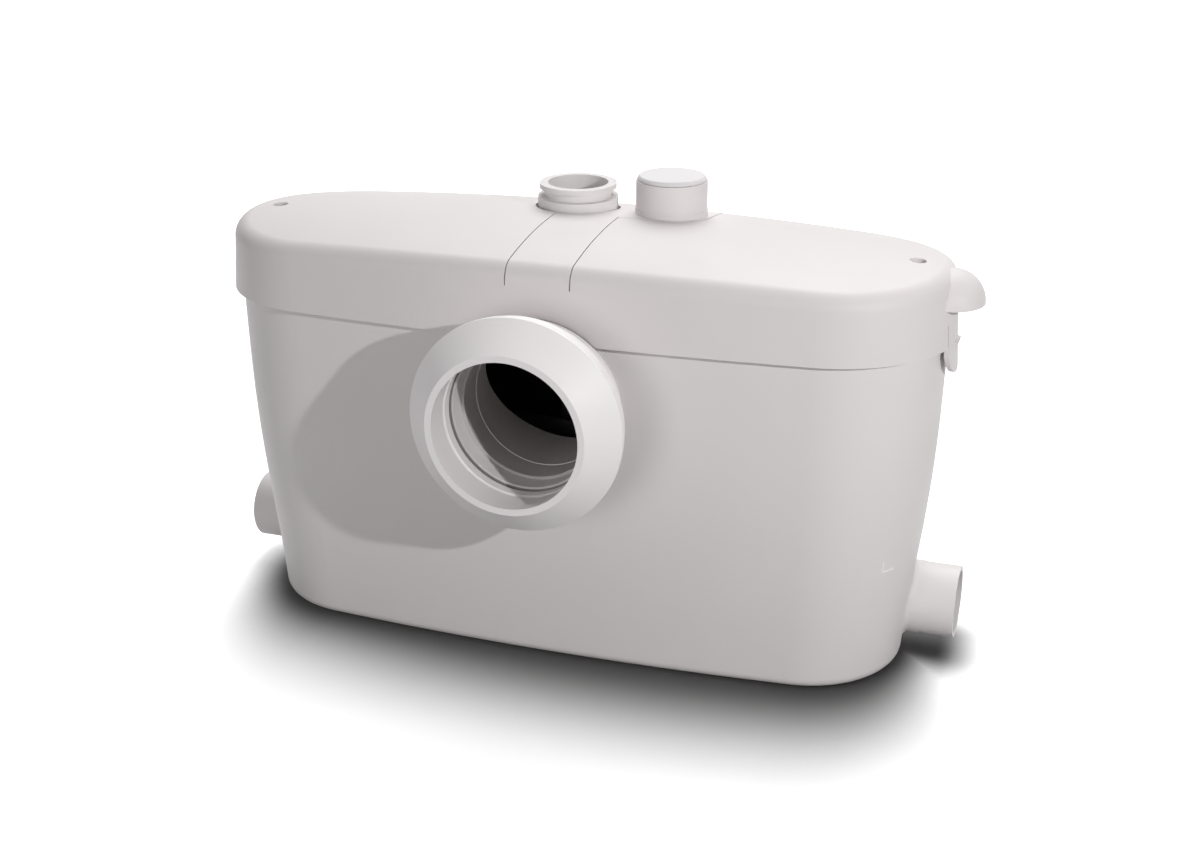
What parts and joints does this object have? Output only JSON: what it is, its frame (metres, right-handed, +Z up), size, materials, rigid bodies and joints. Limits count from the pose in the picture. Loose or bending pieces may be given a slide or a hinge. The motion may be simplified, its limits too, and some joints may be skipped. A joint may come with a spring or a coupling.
{
  "type": "macerator toilet pump",
  "caption": "Macerator pump unit for a back-outlet toilet: oval tank, pan sleeve, side and upper inlets, top discharge stub and lift-off covers over the motor and level switch.",
  "frame": {"origin": "centre of the tank's base, on the floor", "axes": "+X along the width, -Y towards the toilet pan, +Z up"},
  "size_m": [0.442, 0.1986, 0.2607],
  "materials": {
    "shell_white": "satin moulded plastic",
    "lid_white": "satin moulded plastic",
    "cap_white": "satin moulded plastic",
    "sleeve_rubber": "smooth white rubber",
    "stub_grey": "satin moulded plastic",
    "gland_rubber": "matt rubber",
    "seal_rubber": "matt black rubber",
    "inner_grey": "moulded plastic",
    "inner_black": "glass-filled plastic",
    "motor_alloy": "die cast",
    "steel": "turned stainless steel",
    "core_steel": "varnished laminations",
    "copper": "enamelled copper wire",
    "brass": "plain",
    "capacitor_shell": "plain",
    "cutout_black": "plain",
    "lead_sheath": "soft sheath"
  },
  "bodies": {
    "housing": {"base_pads": "seal_rubber", "capacitor": "capacitor_shell", "capacitor_clip": "steel", "capacitor_lead": "lead_sheath", "check_flap_pin": "steel", "check_valve_seat": "inner_grey", "cord_gland": "gland_rubber", "cutter_basket": "inner_black", "deck_gasket": "seal_rubber", "deck_screws": "steel", "diaphragm": "seal_rubber", "discharge_riser": "inner_grey", "discharge_stub": "stub_grey", "inlet_chute": "inner_grey", "inlet_drop_pipe": "inner_grey", "inlet_flap_pins": "steel", "inner_deck": "inner_grey", "level_switch": "inner_black", "lid": "lid_white", "lower_bearing": "steel", "motor_can": "motor_alloy", "motor_cover_screws": "steel", "motor_gasket": "seal_rubber", "motor_lead": "lead_sheath", "motor_top_cover": "motor_alloy", "pressure_bell": "inner_grey", "pump_base_plate": "inner_grey", "pump_casing": "inner_grey", "pump_screws": "steel", "riser_coupling": "seal_rubber", "shaft_seal": "seal_rubber", "stator_core": "core_steel", "stator_windings": "copper", "stub_seal_ring": "seal_rubber", "switch_housing": "inner_grey", "switch_lead": "lead_sheath", "tank": "shell_white", "terminal_block": "inner_black", "terminal_screws": "brass", "thermal_cutout": "cutout_black", "upper_bearing": "steel", "vent_filter": "inner_black", "wc_sleeve": "sleeve_rubber"},
    "rotor": {"motor_shaft": "steel", "rotor_core": "core_steel", "cutter_hub": "steel", "cutter_blades": "steel", "impeller": "inner_black", "impeller_nut": "steel"},
    "check_flap": {"check_flap": "seal_rubber"},
    "left_flap": {"left_inlet_flap": "seal_rubber"},
    "right_flap": {"right_inlet_flap": "seal_rubber"},
    "upper_cap": {"upper_inlet_cap": "cap_white", "cap_seal_ring": "seal_rubber"},
    "left_cover": {"left_access_cover": "lid_white", "left_cover_screw": "steel"},
    "right_cover": {"right_access_cover": "lid_white", "right_cover_screw": "steel"},
    "plunger": {"switch_plunger": "inner_black"}
  },
  "joints": [
    {"name": "motor_spin", "type": "hinge", "parent": "housing", "child": "rotor", "pos_m": [0.1, 0, 0.1], "axis": [0, 0, 1], "continuous": true},
    {"name": "check_flap_swing", "type": "hinge", "parent": "housing", "child": "check_flap", "pos_m": [-0.0135, 0.0469, 0.2052], "axis": [-1, 0, 0], "range_deg": [0, 65]},
    {"name": "left_flap_swing", "type": "hinge", "parent": "housing", "child": "left_flap", "pos_m": [-0.16855, 0.0185, 0.0535], "axis": [0, -1, 0], "range_deg": [0, 32]},
    {"name": "right_flap_swing", "type": "hinge", "parent": "housing", "child": "right_flap", "pos_m": [0.16855, 0.0185, 0.0535], "axis": [0, 1, 0], "range_deg": [0, 32]},
    {"name": "cap_pull", "type": "slide", "parent": "housing", "child": "upper_cap", "axis": [0, 0, 1], "range_m": [0, 0.03]},
    {"name": "left_cover_lift", "type": "slide", "parent": "housing", "child": "left_cover", "axis": [0, 0, 1], "range_m": [0, 0.05]},
    {"name": "right_cover_lift", "type": "slide", "parent": "housing", "child": "right_cover", "axis": [0, 0, 1], "range_m": [0, 0.05]},
    {"name": "plunger_travel", "type": "slide", "parent": "housing", "child": "plunger", "axis": [0, 0, 1], "range_m": [0, 0.0018]}
  ]
}
